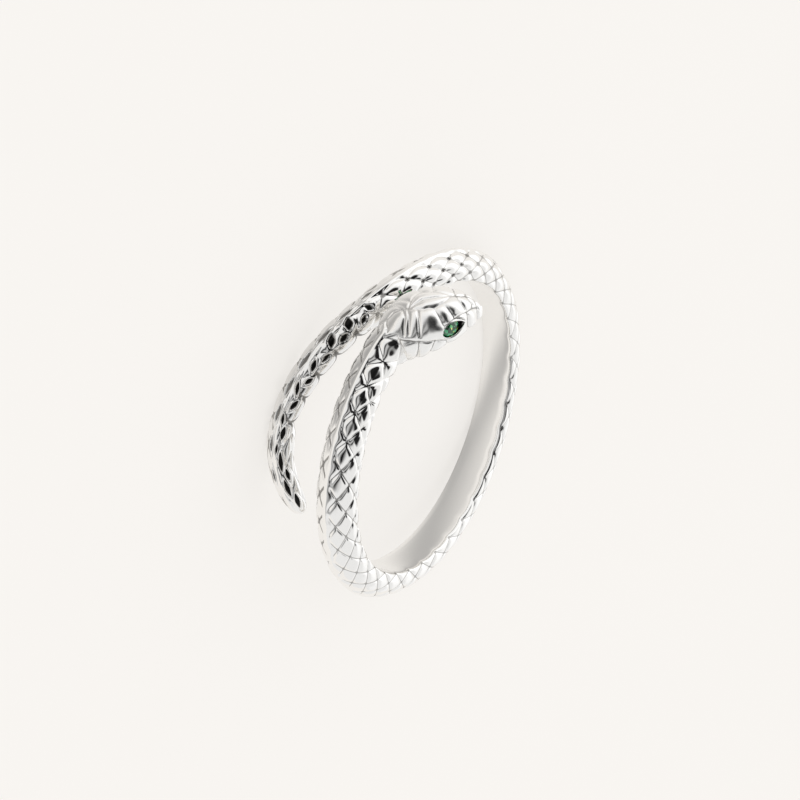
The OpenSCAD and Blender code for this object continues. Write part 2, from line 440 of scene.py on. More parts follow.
def line_distance(x, y, line):
    """Distance of each point to a line of straight pieces, all in millimetres."""
    best = np.inf
    for (x0, y0), (x1, y1) in zip(line[:-1], line[1:]):
        dx, dy = x1 - x0, y1 - y0
        t = np.clip(((x - x0) * dx + (y - y0) * dy) / (dx * dx + dy * dy), 0, 1)
        best = np.minimum(best, np.hypot(x - x0 - t * dx, y - y0 - t * dy))
    return best


def cushion(distance, reach, power):
    """Height of a cushion, from 0 on its groove to 1 at its reach from it."""
    return 1 - (1 - np.clip(distance / reach, 0, 1)) ** power


def head_relief(turn, share, flank_mm):
    """Relief of the head: the edges of its plates and their domes, from 0 in a groove to 1 on a plate, and
    the swell of the cheeks. Edges and domes are products of one cushion for each groove, narrow or wide, so
    that a plate domes without creases. Distances are in millimetres over the flank laid flat."""
    x = (turn * HEAD_MM_PER_DEGREE)[:, None]
    y = np.abs(to_middle_line(turn, share)) * flank_mm[:, None]
    edges = domes = 1
    for line in GROOVES.values():
        t, s = np.array(line).T
        m = straight_track(MIDDLE_LINE, 1, t)
        s = np.where(s > 0, (s - m) / (1 - m), 0) * np.interp(t, turn, flank_mm)
        away = line_distance(x, y, np.stack([t * HEAD_MM_PER_DEGREE, s], 1))
        edges = edges * cushion(away - CHANNEL / 2, EDGE_REACH, EDGE_POWER)
        domes = domes * cushion(away, DOME_REACH, DOME_POWER)
    cheek = sum(np.exp(-(((share + side * CHEEK_SHARE) / CHEEK_W) ** 2)) for side in (-1, 1))
    return edges, domes, cheek * between(turn, CHEEK_TURNS, CHEEK_FADE)


def scale_relief(cell, row, power, valley):
    """Relief of the scales from 0 in a groove to 1, the row that each scale's middle is on, and how near
    each point is to a crossing of the grooves, from 0 to 1. A scale is a diamond in cell and row numbers,
    and a cushion: the product of 1 - |2 d| ** power over its two diagonal directions."""
    p = (2 * cell + row - 1) / 2
    q = (2 * cell - row + 1) / 2
    dp, dq = np.abs(p - np.round(p)), np.abs(q - np.round(q))
    relief = np.clip((1 - (2 * dp) ** power) * (1 - (2 * dq) ** power), 0, 1) ** valley
    return relief, np.round(p) - np.round(q) + 1, 2 * np.minimum(dp, dq)


def tail_pits(turn, share, flank_mm):
    """How deep each point is in a pit of the tail, from 0 to 1, and the lip round the pits. A pit is a
    rounded diamond, and reach is 1 on its outline: reach = (|x / half length| ** p + |y / half width| ** p)
    ** (1 / p), with x along its slant and p = PIT_POWER."""
    pit = lip = 0
    for at_turn, at_share, half_l, half_w, slant in PITS:
        c, s = np.cos(np.radians(slant)), np.sin(np.radians(slant))
        x = ((turn - at_turn) * TAIL_MM_PER_DEGREE)[:, None]
        y = (np.abs(share) - abs(at_share)) * flank_mm[:, None]
        x, y = np.abs(x * c + y * s) / half_l, np.abs(y * c - x * s) / half_w
        reach = (x**PIT_POWER + y**PIT_POWER) ** (1 / PIT_POWER)
        same_flank = (share < 0) == (at_share < 0)
        pit = np.maximum(pit, smooth_step((PIT_END - reach) / PIT_FADE) * same_flank)
        lip = np.maximum(lip, smooth_step((LIP_END - reach) / LIP_FADE) * same_flank)
    return pit, lip * (1 - pit)


def end_rows(turn):
    """Numbers of the rows of scales that the ridge and the foot lie on."""
    return (straight_track(SCALES, k, turn)[:, None] for k in (ROW_AT_RIDGE, ROW_AT_FOOT))


def put_mesh(name, points, triangles, **attributes):
    """A smooth-shaded object from points in millimetres, triangles of point numbers, and named values of
    the points."""
    mesh = bpy.data.meshes.new(name)
    mesh.vertices.add(len(points))
    mesh.vertices.foreach_set("co", (points * MM).astype(np.float32).ravel())
    mesh.loops.add(len(triangles) * 3)
    mesh.loops.foreach_set("vertex_index", triangles.astype(np.int32).ravel())
    mesh.polygons.add(len(triangles))
    mesh.polygons.foreach_set("loop_start", np.arange(0, len(triangles) * 3, 3, dtype=np.int32))
    mesh.polygons.foreach_set("use_smooth", np.ones(len(triangles), bool))
    for key, values in attributes.items():
        mesh.attributes.new(key, "FLOAT", "POINT").data.foreach_set("value", values.astype(np.float32))
    mesh.update(calc_edges=True)
    if mesh.validate():
        raise RuntimeError(name + " has faces that Blender had to mend")
    thing = bpy.data.objects.new(name, mesh)
    bpy.context.scene.collection.objects.link(thing)
    return thing


def hex_colour(code):
    """An sRGB hex colour as linear red, green, blue and 1."""
    srgb = np.array([int(code[i:i + 2], 16) / 255 for i in (1, 3, 5)])
    linear = np.where(srgb <= 0.04045, srgb / 12.92, ((srgb + 0.055) / 1.055) ** 2.4)
    return (*linear.tolist(), 1.0)


def add_node(tree, kind, inputs=None, output=0):
    """Adds a shader node and gives one of its outputs. A key of inputs is a socket's name or number, or a
    property of the node, and a value may be the output of another node."""
    node = tree.nodes.new("ShaderNode" + kind)
    for key, value in (inputs or {}).items():
        if not isinstance(key, int) and key not in node.inputs:
            setattr(node, key, value)
        elif isinstance(value, bpy.types.NodeSocket):
            tree.links.new(value, node.inputs[key])
        else:
            node.inputs[key].default_value = value
    return node.outputs[output] if node.outputs else None


def ramped(tree, value, start, end, first=0.0, last=1.0, kind="LINEAR"):
    """A value that runs from first to last while another runs from start to end."""
    return add_node(tree, "MapRange", {
        "interpolation_type": kind, "Value": value, "From Min": start, "From Max": end, "To Min": first,
        "To Max": last})


def mixed_colour(tree, share, first, second):
    """The first colour, with a share of the second."""
    return add_node(tree, "Mix", {"data_type": "RGBA", 0: share, 6: first, 7: second}, 2)


def new_material(name):
    """A bare material, its node tree, and where each point is on the object."""
    material = bpy.data.materials.new(name)
    material.use_nodes = True
    tree = material.node_tree
    tree.nodes.clear()
    return material, tree, add_node(tree, "TexCoord", output="Object")


def with_shader(material, inputs):
    """The material with a Principled shader of such inputs as its surface."""
    shader = add_node(material.node_tree, "BsdfPrincipled", inputs)
    add_node(material.node_tree, "OutputMaterial", {"Surface": shader})
    return material


def length_setting(name, description, default_mm, least_mm, most_mm):
    """A length that the user can change, kept in metres."""
    return bpy.props.FloatProperty(
        name=name, description=description, default=default_mm * MM, min=least_mm * MM, max=most_mm * MM,
        precision=5, unit="LENGTH", subtype="DISTANCE")


def colour_setting(name, description, default):
    """A colour that the user can change."""
    return bpy.props.FloatVectorProperty(
        name=name, description=description, default=hex_colour(default), size=4, min=0.0, max=1.0,
        subtype="COLOR")


class RingSettings(bpy.types.PropertyGroup):
    """Sizes and colours of the ring"""
    groove_depth: length_setting("Groove depth", "Depth of the grooves between the scales", 0.14, 0.02, 0.2)
    plate_depth: length_setting(
        "Plate groove depth", "Depth of the grooves between the head's plates", 0.05, 0.02, 0.3)
    pillow: length_setting("Plate dome", "How high each plate of the head domes in its middle", 0.09, 0, 0.3)
    cheek: length_setting("Cheek swell", "How far the head's cheeks swell", 0.13, 0, 0.2)
    ridge_bead: length_setting("Ridge bead", "Half width of the smooth bead on the ridge", 0.13, 0.02, 0.3)
    scale_power: bpy.props.FloatProperty(
        name="Scale flatness", default=3.8, min=2.0, max=8.0,
        description="How flat the middle of each scale is: 2 is a dome, more is flatter")
    valley: bpy.props.FloatProperty(
        name="Groove roundness", default=1.15, min=1.0, max=4.0,
        description="How wide and round the bottom of each groove is: 1 is a sharp V")
    silver_colour: colour_setting("Silver", "Colour of the polished silver", "#F6F5F3")
    # Painted shade: the darker colour that the grooves are painted towards
    groove_shade_colour: colour_setting("Groove satin", "Colour of the silver in the grooves", "#A3A19E")
    # Painted shade: the near black of the pits, eye seats, crossing spots and bump outlines
    black_shade_colour: colour_setting("Pits", "Colour of the silver in the pits and the eye seats", "#232221")
    stone_colour: colour_setting("Stone", "Main green of the eye stones", "#278550")
    floor_colour: colour_setting("Floor", "Colour of the floor and of the backdrop", "#F8F5F1")


def bump_relief(cell, row, scales, scale_row):
    """The scales with the second row as round bumps and the edge cut back between them, and how far each
    point is from the nearest bump's middle, as a share of its reach."""
    away = np.hypot((cell - np.floor(cell) - 0.5) / BUMP_CELLS, (row - 2) / BUMP_ROWS)
    bump = 1 - np.clip(away, 0, 1) ** BUMP_POWER
    cut = -HOLLOW * smooth_step((away - 1) / HOLLOW_REACH)
    beside = np.where(scale_row > 2.5, cut, np.where(scale_row > 1.5, 0, scales))
    return np.where(bump > 0, np.maximum(bump, beside), beside), away


def back_relief(turn, share, flank_mm, settings):
    """Height over the smooth back in millimetres, how dark each point's painted shade is, with about 1 in a
    groove and 2 in a pit, and how satin it is."""
    cell = straight_track(SCALES, CELL, turn)[:, None]
    ridge_row, foot_row = end_rows(turn)
    row = ridge_row + (foot_row - ridge_row) * np.abs(share)
    depth, line, flatness, spots = (
        straight_track(SURFACE, k, turn)[:, None] for k in (DEPTH, LINE, FLATNESS, SPOTS))
    scales, scale_row, crossing = scale_relief(cell, row, settings.scale_power * flatness, settings.valley)
    bumps, away = bump_relief(cell, row, scales, scale_row)
    bumpy = between(turn, BUMP_TURNS, BUMP_FADE)
    scales = scales + (bumps - scales) * bumpy
    # The ridge is a plain bead, which no groove cuts
    bead_mm = settings.ridge_bead / MM
    bead = 1 - smooth_step((np.abs(share) * flank_mm[:, None] - bead_mm) / bead_mm)
    scales = np.where(bead > 0, np.maximum(scales, bead), scales)
    scales = scales + (1 - scales) * smooth_step((-share - BORDER_SHARE) / BORDER_FADE)
    height = (scales - SCALE_TOP) * settings.groove_depth / MM * depth
    # Painted shade: the grooves are darkened, more on the far flank, with near black spots where they cross
    groove = (1 - np.clip(np.abs(scales), 0, 1)) * line * np.where(share < 0, FAR_LINES, 1)
    spot = smooth_step((crossing - SPOT_START) / SPOT_FADE) * (share > 0) * (1 - bead)
    groove = np.maximum(groove, SPOT_DARKNESS * spots * spot)
    if turn[-1] > PITS[0, 0]:
        # Painted shade: a dark line round each bump
        outlined = bumpy * smooth_step((OUTLINE_HALF_W - np.abs(away - 1)) / OUTLINE_EDGE)
        outlined = outlined * smooth_step((row - OUTLINE_ROW) / OUTLINE_FADE)
        groove = np.maximum(groove, OUTLINE_DARKNESS * outlined)
        pit, lip = tail_pits(turn, share, flank_mm)
        pit = pit * np.where(share < 0, FAR_FAINTNESS, 1)
        height += LIP_HEIGHT * lip - PIT_DEPTH * pit
        # Painted shade: the pits go near black and the lips lose the grooves' shade
        groove = groove * (1 - lip) + (2 - groove) * pit
    if turn[0] < NAPE[0, 1]:
        return with_head(turn, share, flank_mm, height, groove, settings)
    return height, groove, np.zeros(share.shape)


def with_head(turn, share, flank_mm, height, groove, settings):
    """The same three values with the head's plates in place of the scales. The plates are satin, and the
    grooves carry painted shade, darker on the jaw and the snout than on the crown."""
    edges, domes, cheek = head_relief(turn, share, flank_mm)
    over = np.abs(to_middle_line(turn, share))
    on_head = smooth_step((straight_track(NAPE, 1, over) - turn[:, None]) / NAPE_FADE + 0.5)
    plates = (edges - EDGE_TOP) * settings.plate_depth + (domes - DOME_TOP) * settings.pillow
    plates = (plates + cheek * settings.cheek) / MM
    jaw_and_snout = smooth_step((over - JAW_SHADE_SHARE) / JAW_SHADE_SHARE_FADE)
    jaw_and_snout = np.maximum(jaw_and_snout, smooth_step((SNOUT_SHADE_TURN - turn) / SNOUT_SHADE_TURN_FADE)[:, None])
    # Painted shade in the head's grooves, darker on the jaw and the snout
    line = (1 - edges) * (HEAD_LINE + JAW_SNOUT_SHADE * jaw_and_snout)
    return height * (1 - on_head) + plates * on_head, groove * (1 - on_head) + line * on_head, on_head


# The eye's own frame, with X to the snout and Z out of the head: the turn and the angle over the roof that
# it is at, and how far it looks up and forward
EYE_TURN = -128.0
EYE_OVER = np.radians(82.0)
EYE_UP = np.radians(6.5)
EYE_FORWARD = np.radians(9.5)
# The stone, in millimetres: its width, how deep it sits, its clearance, its girdle, and its point's depth as
# a share of its width
STONE_D = 1.1
STONE_SINK = 0.12
STONE_GAP = 0.03
GIRDLE_H = 0.04
PAVILION = 0.42
# The almond round it: its length, width and depth, how far ahead of the stone its middle is, and the soft
# edges of the almond and of the seat
LID_L = 1.62
LID_W = 1.12
LID_DEPTH = 0.2
LID_LEAD = 0.17
LID_EDGE = 0.05
SEAT_EDGE = 0.04
# Only points so near the eye, along its plane and across it, are moved
EYE_REACH = 1.4
EYE_REACH_DEPTH = 0.9


def eye_frame(side):
    """Place, forward, over and face of an eye, with side 1 for the snake's right eye and -1 for its left."""
    t = np.array([EYE_TURN])
    middle, out, along, sideways = (v[0] for v in section_frame(t))
    half_w, ridge, point = (v[0] for v in section_sizes(t))
    place = middle + out * ridge * (SHOULDER + (1 - SHOULDER) * np.cos(EYE_OVER))
    place = place + sideways * half_w * np.sin(EYE_OVER) ** point * side
    face = unit(sideways * side * np.cos(EYE_UP) + out * np.sin(EYE_UP) - along * np.tan(EYE_FORWARD))
    ahead = unit(-along + face * (along @ face))
    return place, ahead, np.cross(face, ahead), face


def sink_eye(points, side):
    """The almond and the stone's round seat, pressed into the head along the eye's own Z, and where they
    are."""
    place, ahead, over, face = eye_frame(side)
    p = points - place
    x, y, z = p @ ahead, p @ over, p @ face
    half_l, half_w = LID_L / 2, LID_W / 2
    # The almond is where two circles of this radius meet
    lid_r = (half_l**2 + half_w**2) / (2 * half_w)
    inside = lid_r - np.hypot(x - LID_LEAD, np.abs(y) + lid_r - half_w)
    r = np.hypot(x, y)
    seat_r = STONE_D / 2 + STONE_GAP
    near = (np.abs(z) < EYE_REACH_DEPTH) & (r < EYE_REACH)
    w_lid = smooth_step(inside / LID_EDGE) * near
    z_new = z + (np.minimum(z, -LID_DEPTH) - z) * w_lid
    seat_z = -STONE_SINK - GIRDLE_H - (STONE_D * PAVILION + 2 * STONE_GAP) * np.clip(1 - r / seat_r, 0, 1)
    w_seat = smooth_step((seat_r - r) / SEAT_EDGE + 0.5) * near
    z_new = z_new + (np.minimum(z_new, seat_z) - z_new) * w_seat
    return points + face * (z_new - z)[..., None], np.maximum(w_lid, w_seat)


# The bright-cut rim of an eye: how far its almond opening reaches ahead of and behind the stone's middle,
# half its width, how pointed each end is, the points round it, and its cross-section as distances out and
# heights over the eye's own plane
RIM_AHEAD = 0.89
RIM_BEHIND = 0.61
RIM_HALF_W = 0.44
POINT_AHEAD = 1.5
POINT_BEHIND = 1.05
RIM_STEPS = 96
RIM_SECTION = np.array([
    [0, 0.01],
    [0, 0.05],
    [0.015, 0.06],
    [0.035, 0.055],
    [0.065, 0.02],
    [0.1, -0.06],
    [0.13, -0.2],
    [0.1, -0.26],
    [0.08, -0.04],
    [0.02, 0],
])


def eye_rim(side):
    """An almond rim: its cross-section carried round (reach * cos(a), half width * sin(a) ** point), with
    the reach and the point of the end that cos(a) is on, and all sizes grown by the distance out."""
    place, ahead, over, face = eye_frame(side)
    a = np.linspace(0, 2 * np.pi, RIM_STEPS, endpoint=False)[:, None]
    grown, z = RIM_SECTION[:, 0], RIM_SECTION[:, 1] + 0 * a
    front = np.cos(a) > 0
    x = (np.where(front, RIM_AHEAD, RIM_BEHIND) + grown) * np.cos(a)
    sharp = np.abs(np.sin(a)) ** np.where(front, POINT_AHEAD, POINT_BEHIND)
    y = (RIM_HALF_W + grown) * np.sign(np.sin(a)) * sharp
    points = place + x[..., None] * ahead + y[..., None] * over + z[..., None] * face
    numbers = np.arange(a.size * len(RIM_SECTION)).reshape(a.size, -1)
    closed = np.vstack([numbers, numbers[:1]])
    return points.reshape(-1, 3), band_triangles(closed)[:, ::-1]


def band_triangles(numbers, flip=np.array(False)):
    """Triangles of a grid of point numbers whose columns close on themselves. flip says which squares are
    divided along the other diagonal."""
    a, b = numbers[:-1], numbers[1:]
    a2, b2 = np.roll(a, -1, 1), np.roll(b, -1, 1)
    one = np.stack([np.stack([a, b, b2], -1), np.stack([a, b2, a2], -1)], -2)
    other = np.stack([np.stack([a, b, a2], -1), np.stack([b, b2, a2], -1)], -2)
    return np.where(flip[..., None, None], other, one).reshape(-1, 3)


def zip_triangles(coarse, fine, coarse_back, fine_back):
    """Triangles between two loops of point numbers. The fine one has two squares on its back for each one of
    the coarse, and the columns of their inner faces agree."""
    c, f = coarse[:coarse_back], fine[:fine_back]
    i = np.arange(coarse_back - 1)
    ci = np.append(coarse[coarse_back - 1:], coarse[0])
    fi = np.append(fine[fine_back - 1:], fine[0])
    a, b, a2, b2 = ci[:-1], fi[:-1], ci[1:], fi[1:]
    corners = (
        (c[i], f[2 * i], f[2 * i + 1]),
        (c[i], f[2 * i + 1], c[i + 1]),
        (c[i + 1], f[2 * i + 1], f[2 * i + 2]),
        (a, b, b2),
        (a, b2, a2),
    )
    return np.vstack([np.stack(three, 1) for three in corners])


# The band's mesh follows the scales between these half cells. It has so many squares for half a cell and for
# a row of scales, and so many rows of scales on each flank.
BAND_FIRST, BAND_LAST = 2, 73
BAND_STEPS = 8
BAND_ROWS = 4
# The third row of crossings is followed where the foot is beyond this row, from so much beyond in full
THIRD_ROW = 3.1
THIRD_FADE = 0.3
# Length of a square on the head and on the tail in millimetres, and columns of the inner face
HEAD_STEP = 0.055
TAIL_STEP = 0.05
INNER_COLUMNS = 6
# The relief fades out over so many degrees at the snout and at the tip. Both are rounded by so many
# millimetres, with so many rings.
SNOUT_FADE, SNOUT_REACH = 1.5, 0.12
TIP_FADE, TIP_REACH = 3, 0.1
END_RINGS = 3


def band_grid():
    """The band's mesh, whose lines run through the crossings of the grooves: the turn of each mesh row, each
    point's share of the flank, the number of each mesh row, and the place of each mesh column in rows of
    scales from the ridge, negative on the far flank. The last rows spread out to the foot."""
    step = np.arange(BAND_FIRST * BAND_STEPS, BAND_LAST * BAND_STEPS + 1)
    turn = np.interp(step / BAND_STEPS / 2, SCALES[:, CELL], SCALES[:, 0])
    column = np.arange(-BAND_ROWS * BAND_STEPS, BAND_ROWS * BAND_STEPS + 1) / BAND_STEPS
    ridge_row, foot_row = end_rows(turn)
    over = np.abs(column)
    knee = np.clip(2 + (foot_row - THIRD_ROW) / THIRD_FADE, 2, 3)
    row = np.where(over <= knee, over, knee + (over - knee) * (foot_row - knee) / (BAND_ROWS - knee))
    row = np.where(over < 1, ridge_row + (1 - ridge_row) * over, row)
    return turn, np.sign(column) * (row - ridge_row) / (foot_row - ridge_row), step, column


def band_flip(step, column, columns):
    """Which squares of the band, of so many columns with the inner face, are divided along the other
    diagonal, so that each is divided along the groove that crosses it."""
    row = np.floor(column[:-1]).astype(int)
    flip = np.zeros((len(step) - 1, columns), bool)
    flip[:, :len(row)] = (step[:-1, None] // BAND_STEPS + row) % 2
    return flip


def even_grid(first_turn, last_turn, step_mm):
    """Turns and shares of an even grid over the back, with two columns for each one of the band."""
    rows = int((last_turn - first_turn) * RIDGE_MM_PER_DEGREE / step_mm)
    share = np.linspace(-1, 1, 4 * BAND_ROWS * BAND_STEPS + 1)
    return np.linspace(first_turn, last_turn, rows), np.tile(share, (rows, 1))


def relief_loops(turn, share, settings):
    """Loops of points round the snake, each the back with its relief and then the inner face, and the groove
    and satin values of the points."""
    back, flank_mm = flank_points(turn, share)
    height, groove, satin = back_relief(turn, share, flank_mm, settings)
    end = smooth_step((turn - SNOUT_TURN) / SNOUT_FADE) * smooth_step((TIP_TURN - turn) / TIP_FADE)
    end = end[:, None]
    normal = unit(np.cross(np.gradient(back, axis=0), np.gradient(back, axis=1)))
    moved = back + normal * (height * end)[..., None]
    if turn[0] < EYE_TURN:
        for side in (1, -1):
            moved, sunk = sink_eye(moved, side)
            # Painted shade: the almonds and the stones' seats go near black
            groove = np.maximum(groove, 2 * sunk)
    loops = np.hstack([moved, inner_face(moved[:, -1], moved[:, 0], INNER_COLUMNS)])
    # The edges of the inner face are rounded a little
    for j in (0, share.shape[1] - 1):
        before, after = loops[:, j - 1], loops[:, (j + 1) % loops.shape[1]]
        loops[:, j] = loops[:, j] / 2 + (before + after) / 4
    bare = ((0, 0), (0, INNER_COLUMNS))
    return loops, np.pad(groove * end, bare), np.pad(satin, bare)


def rounded_end(points, loop, turn, sense, reach):
    """Points and triangles that close the snake over a loop of point numbers, with rings that shrink as the
    cosine of an angle and go out as its sine. sense is 1 where the snake's own direction leads out."""
    ring = points[loop]
    centre = ring.mean(0)
    pole = section_frame(np.array([turn]))[2][0] * sense * reach
    bend = (np.arange(1, END_RINGS + 1) / (END_RINGS + 1) * np.pi / 2)[:, None, None]
    rings = centre + (ring - centre) * np.cos(bend) + pole * np.sin(bend)
    numbers = len(points) + np.arange(END_RINGS * len(loop)).reshape(END_RINGS, -1)
    last = numbers[-1]
    fan = np.stack([np.full(len(loop), numbers.max() + 1), last, np.roll(last, -1)], 1)[:, ::-1]
    triangles = np.vstack([band_triangles(np.vstack([loop, numbers])), fan])
    return np.vstack([rings.reshape(-1, 3), centre + pole]), triangles[:, ::sense]


def build_snake(settings):
    """Points and triangles of the whole snake, and the points' groove and satin values. The head and the
    tail have a finer mesh than the band, and the three are joined."""
    band_turn, band_share, step, column = band_grid()
    head_turn, head_share = even_grid(SNOUT_TURN, band_turn[0], HEAD_STEP)
    tail_turn, tail_share = even_grid(band_turn[-1], TIP_TURN, TAIL_STEP)
    parts = (
        relief_loops(head_turn[:-1], head_share[:-1], settings),
        relief_loops(band_turn, band_share, settings),
        relief_loops(tail_turn[1:], tail_share[1:], settings),
    )
    numbers, start = [], 0
    for _, groove, _ in parts:
        numbers.append(start + np.arange(groove.size).reshape(groove.shape))
        start += groove.size
    head, band, tail = numbers
    triangles = [
        band_triangles(head),
        zip_triangles(band[0], head[-1], len(column), head_share.shape[1])[:, ::-1],
        band_triangles(band, band_flip(step, column, band.shape[1])),
        zip_triangles(band[-1], tail[0], len(column), tail_share.shape[1]),
        band_triangles(tail),
    ]
    points = np.vstack([loops.reshape(-1, 3) for loops, _, _ in parts])
    ends = ((head[0], SNOUT_TURN, -1, SNOUT_REACH), (tail[-1], TIP_TURN, 1, TIP_REACH))
    for end in ends:
        more, faces = rounded_end(points, *end)
        points = np.vstack([points, more])
        triangles.append(faces)
    bare = np.zeros(len(points) - start)
    groove, satin = (np.hstack([part[k].ravel() for part in parts] + [bare]) for k in (1, 2))
    return points, np.vstack(triangles), groove, satin


# The silver's least and most roughness where it is polished, and what the grooves and the plates add to it
POLISH = (0.05, 0.09)
GROOVE_ROUGH = 0.22
PLATE_ROUGH = 0.16
# The values of the wear's noise over which the polish changes, and those of the groove attribute over which
# the satin with its painted grey shade, and the painted near black shade, come in
WEAR_VALUES = (0.3, 0.7)
SATIN_AND_SHADE_VALUES = (0.78, 0.95)
BLACK_SHADE_VALUES = (1.2, 1.8)
# How fine the patches of wear, the stone's painted flashes and the floor's clouds are, for each metre
WEAR_SCALE = 900.0
FLASH_SCALE = 5000.0
CLOUD_SCALE = 40.0
# The stone's painted flashes: its darkest and brightest colours, and others with their places on its ramp,
# round the main one
STONE_ENDS = ("#052A14", "#EDF58A")
STONE_FLASHES = ((0.3, "#10562E"), (0.7, "#5ABB8A"), (0.85, "#BFDD58"))


def silver_material(settings):
    """Polished sterling silver, cast and tumbled: bright, with a soft satin in the grooves and on the head's
    plates, painted grey shade in the grooves, painted near black shade in the pits, the eye seats, the
    spots where grooves cross and round the tail's bumps, and polish uneven from wear."""
    m, t, place = new_material("polished_sterling_silver")
    groove = add_node(t, "Attribute", {"attribute_name": "groove"}, "Fac")
    satin = add_node(t, "Attribute", {"attribute_name": "satin"}, "Fac")
    wear = add_node(t, "TexNoise", {"Scale": WEAR_SCALE, "Detail": 3.0, "Vector": place}, "Fac")
    in_groove = ramped(t, groove, *SATIN_AND_SHADE_VALUES)
    rough = ramped(t, wear, *WEAR_VALUES, *POLISH)
    for share, more in ((in_groove, GROOVE_ROUGH), (satin, PLATE_ROUGH)):
        rough = add_node(t, "Math", {"operation": "MULTIPLY_ADD", 0: share, 1: more, 2: rough})
    # Painted shade: grooves go towards a darker grey, and pits, seats, spots and outlines towards near black
    colour = mixed_colour(t, in_groove, settings.silver_colour, settings.groove_shade_colour)
    colour = mixed_colour(t, ramped(t, groove, *BLACK_SHADE_VALUES), colour, settings.black_shade_colour)
    return with_shader(m, {"Metallic": 1.0, "Base Color": colour, "Roughness": rough})


def stone_material(settings):
    """Faceted green cubic zirconia: a deep green with painted flashes, teal, yellow-green and dark, in
    random cells of its colour, in place of the light its facets throw back, with a hard polish."""
    m, t, place = new_material("green_cubic_zirconia")
    # Painted highlight: random cells of the colour flash lighter and darker
    flashes = add_node(t, "TexVoronoi", {"Scale": FLASH_SCALE, "Vector": place}, "Color")
    colour = add_node(t, "ValToRGB", {0: add_node(t, "SeparateColor", {0: flashes})})
    stops = colour.node.color_ramp.elements
    stops[0].color, stops[1].color = (hex_colour(code) for code in STONE_ENDS)
    stops.new(0.5).color = settings.stone_colour
    for at, code in STONE_FLASHES:
        stops.new(at).color = hex_colour(code)
    return with_shader(m, {
        "Roughness": 0.03, "IOR": 2.15, "Specular IOR Level": 0.3, "Transmission Weight": 0.15,
        "Base Color": colour})


class RING_OT_snake(bpy.types.Operator):
    """Builds the snake's scaled back, its head with plates and eye seats, and its smooth inner face"""
    bl_idname = "ring.snake"
    bl_label = "Snake"

    def execute(self, context):
        settings = context.scene.snake_ring
        points, triangles, groove, satin = build_snake(settings)
        snake = put_mesh("silver_snake", at_rest(points), triangles, groove=groove, satin=satin)
        snake.data.materials.append(silver_material(settings))
        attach(snake, "root")
        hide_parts("ring_body")
        return {"FINISHED"}


class RING_OT_rims(bpy.types.Operator):
    """Builds the bright-cut almond rims round both eye stones"""
    bl_idname = "ring.rims"
    bl_label = "Eye rims"

    def execute(self, context):
        right, faces = eye_rim(1)
        left, more = eye_rim(-1)
        points = np.vstack([right, left])
        faces = np.vstack([faces, more + len(right)])
        rims = put_mesh("eye_rims", at_rest(points), faces, groove=np.zeros(len(points)))
        rims.data.materials.append(bpy.data.materials["polished_sterling_silver"])
        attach(rims, "root")
        return {"FINISHED"}


class RING_OT_stones(bpy.types.Operator):
    """Gives the eye stones of the CAD part their gem material"""
    bl_idname = "ring.stones"
    bl_label = "Eye stones"

    def execute(self, context):
        gem = stone_material(context.scene.snake_ring)
        for side in ("left", "right"):
            stone = frame["nodes"]["eye_stone_" + side]
            stone.data.materials.clear()
            stone.data.materials.append(gem)
        return {"FINISHED"}


# The photograph's camera in the ring's own frame: the directions to it and to the picture's right, its
# distance from the ring's middle in millimetres, its focal length in pixels, and where that middle is in
# the picture
TO_CAMERA = np.array([0, -0.91293, 0.40820])
PICTURE_RIGHT = np.array([-0.36326, 0.38040, 0.85052])
CAMERA_MM = 200.0
FOCAL_PX = 3505.8
MIDDLE_PX = (423.3, 423.6)
PICTURE_PX = 800
# Half the width of the floor, in millimetres
FLOOR_HALF = 1500.0
# The dark, grey or brighter cards in the white studio: the azimuth and elevation of the middle of each and
# of where its length points to, its half length, half width and soft edge in degrees, and its brightness
CARDS = [
    (150, 25, 60, 0, 50, 18, 12, 1.35),
    (-66, 52, 24, 0, 36, 25, 9, 0.56),
    (-137, 58, -137, -32, 27, 22, 4, 0.015),
    (95, 80, -85, 10, 23, 14, 4, 0.015),
    (-39, 49, -21, 12, 44, 8, 7, 0),
    (-76, 32, -35, 11, 38, 7, 6, 0.04),
]
STUDIO_LIGHT = 0.88
# Share of the floor's light that falls on it. The rest comes up through it, as on a light table.
FLOOR_LIGHT = 0.3
# Soft painted grey shades on the floor that only mirroring shows: the middle of each, its half length and
# half width in millimetres, and its strength. Each is full within the first share of its size and gone at
# the second.
FLOOR_SHADES = [
    (0, 2, 4, 3, 0.3),
    (1, 7, 3, 4, 0.55),
    (-8, -18, 12, 8, 0.7),
    (1, -13.5, 6, 2.5, 0.5),
]
SHADE_FULL = 0.2
SHADE_GONE = 1.7
SHADE_COLOUR = "#7C7C7D"
# The colour of the faint clouds in the floor's paper
CLOUD_COLOUR = "#F9F6F2"


def direction(azimuth, elevation):
    """A level angle from +X towards +Y and a height angle, in degrees, as a direction."""
    a, e = np.radians(azimuth), np.radians(elevation)
    return np.array([np.cos(e) * np.cos(a), np.cos(e) * np.sin(a), np.sin(e)])


